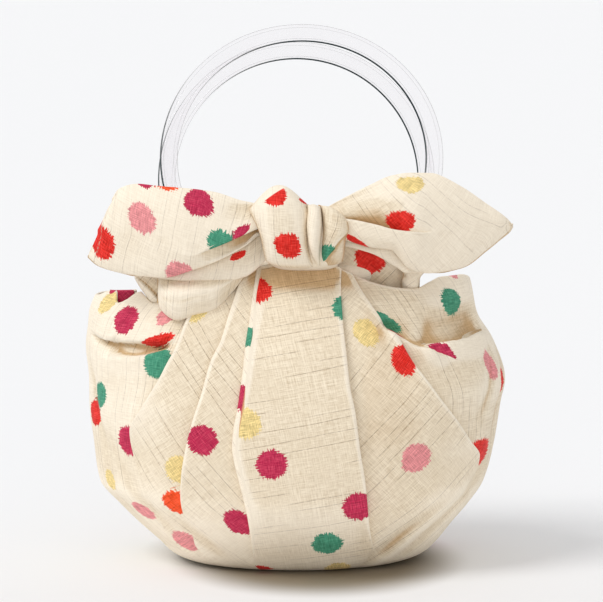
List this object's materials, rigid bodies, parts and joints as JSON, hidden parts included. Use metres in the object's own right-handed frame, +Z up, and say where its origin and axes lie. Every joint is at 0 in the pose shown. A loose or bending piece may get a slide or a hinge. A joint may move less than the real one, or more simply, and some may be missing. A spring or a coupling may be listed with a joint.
{
  "type": "furoshiki bag with ring handles",
  "caption": "Small rounded pouch of one knotted square cloth, pleated from its knots, hung from a pair of clear ring handles with bow-like tails.",
  "frame": {"origin": "middle of the flat base that the bag stands on", "axes": "+Z up from the base towards the ring handles, -Y towards the front knot, +X to the right as seen from the front"},
  "size_m": [0.238, 0.1593, 0.3029],
  "materials": {
    "cloth": "slubby plain-weave cotton in cream with scattered woven dots",
    "clear_ring": "clear polished acrylic rod"
  },
  "bodies": {
    "root": {"cloth": "cloth", "ring_front": "clear_ring", "ring_back": "clear_ring"}
  },
  "joints": []
}
